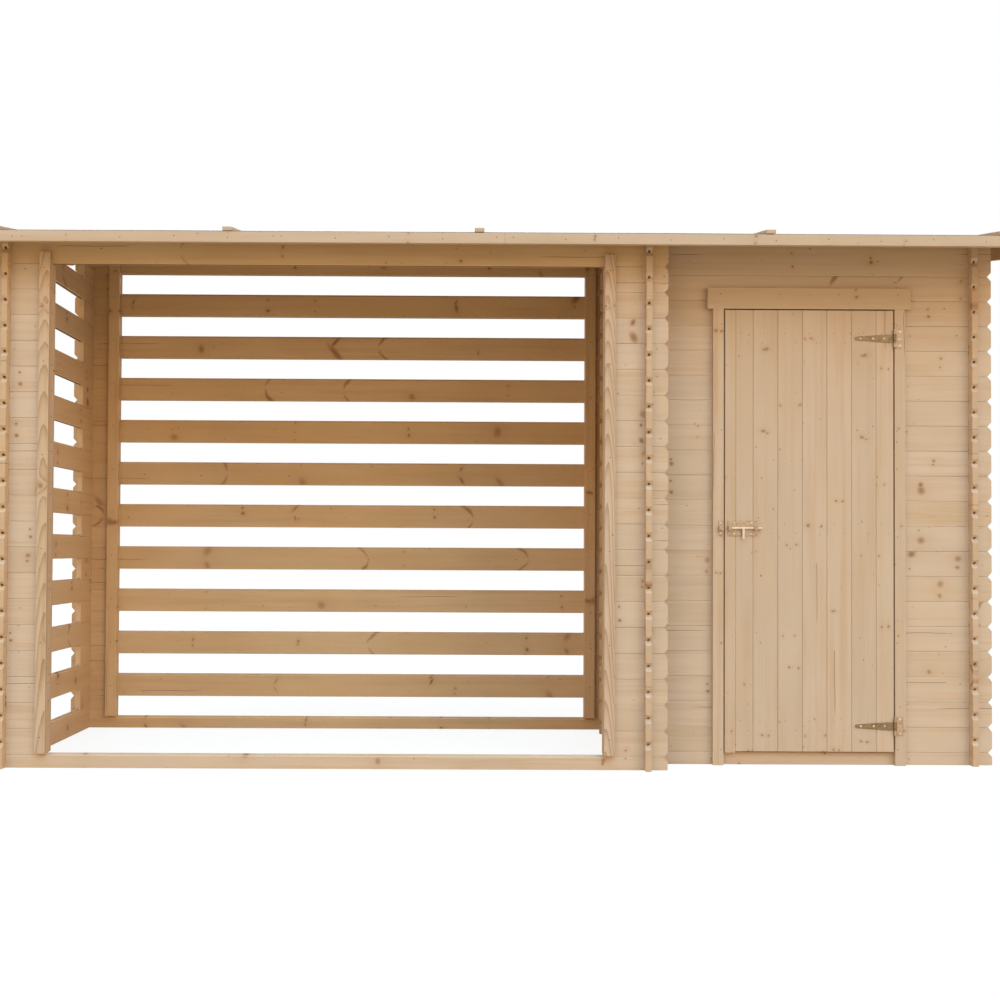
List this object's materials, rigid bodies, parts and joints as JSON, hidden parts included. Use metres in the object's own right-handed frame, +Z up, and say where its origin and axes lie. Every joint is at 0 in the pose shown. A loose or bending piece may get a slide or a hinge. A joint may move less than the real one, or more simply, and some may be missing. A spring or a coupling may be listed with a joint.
{
  "type": "log store",
  "caption": "Log-built garden store: an open-fronted slatted firewood bay beside a closed tool shed with a hinged boarded door, under a shared single-pitch felt roof.",
  "frame": {"origin": "on the ground, under the middle of the roof's plan", "axes": "+X along the front towards the tool shed, +Y from the open front to the back, +Z up"},
  "size_m": [3.91, 1.2, 2.2049],
  "materials": {
    "logs": "planed, untreated",
    "trim_boards": "planed, untreated",
    "steel": "zinc plated",
    "felt": "mineral roofing felt"
  },
  "bodies": {
    "building": {"front_sill": "logs", "front_left_pier": "logs", "front_right_pier": "logs", "front_lintel": "logs", "left_jamb": "trim_boards", "right_jamb": "trim_boards", "left_wall_slats": "logs", "left_wall_blocks": "logs", "dividing_wall": "logs", "right_wall": "logs", "back_rail": "logs", "back_slats": "logs", "back_left_pier": "logs", "back_right_pier": "logs", "back_left_post": "trim_boards", "back_right_post": "trim_boards", "shed_back_wall": "logs", "shed_front_sill": "logs", "shed_front_left": "logs", "shed_front_right": "logs", "shed_front_top": "logs", "door_trim_left": "trim_boards", "door_trim_right": "trim_boards", "door_head": "trim_boards", "roof_deck": "logs", "roof_felt": "felt", "roof_battens": "trim_boards", "fascia_left": "trim_boards", "fascia_right": "trim_boards", "back_fascia": "trim_boards", "left_verge": "trim_boards", "right_verge": "trim_boards", "upper_hinge_plate": "steel", "lower_hinge_plate": "steel", "bolt_keeper": "steel"},
    "door": {"door_boards": "logs", "door_stile": "trim_boards", "door_ledges": "trim_boards", "upper_hinge_strap": "steel", "lower_hinge_strap": "steel", "bolt_plate": "steel"},
    "bolt": {"door_bolt": "steel"}
  },
  "joints": [
    {"name": "door_swing", "type": "hinge", "parent": "building", "child": "door", "pos_m": [1.503, -0.366, 0.88], "axis": [0, 0, 1], "range_deg": [0, 160]},
    {"name": "bolt_slide", "type": "slide", "parent": "door", "child": "bolt", "axis": [-1, 0, 0], "range_m": [0, 0.03]}
  ]
}
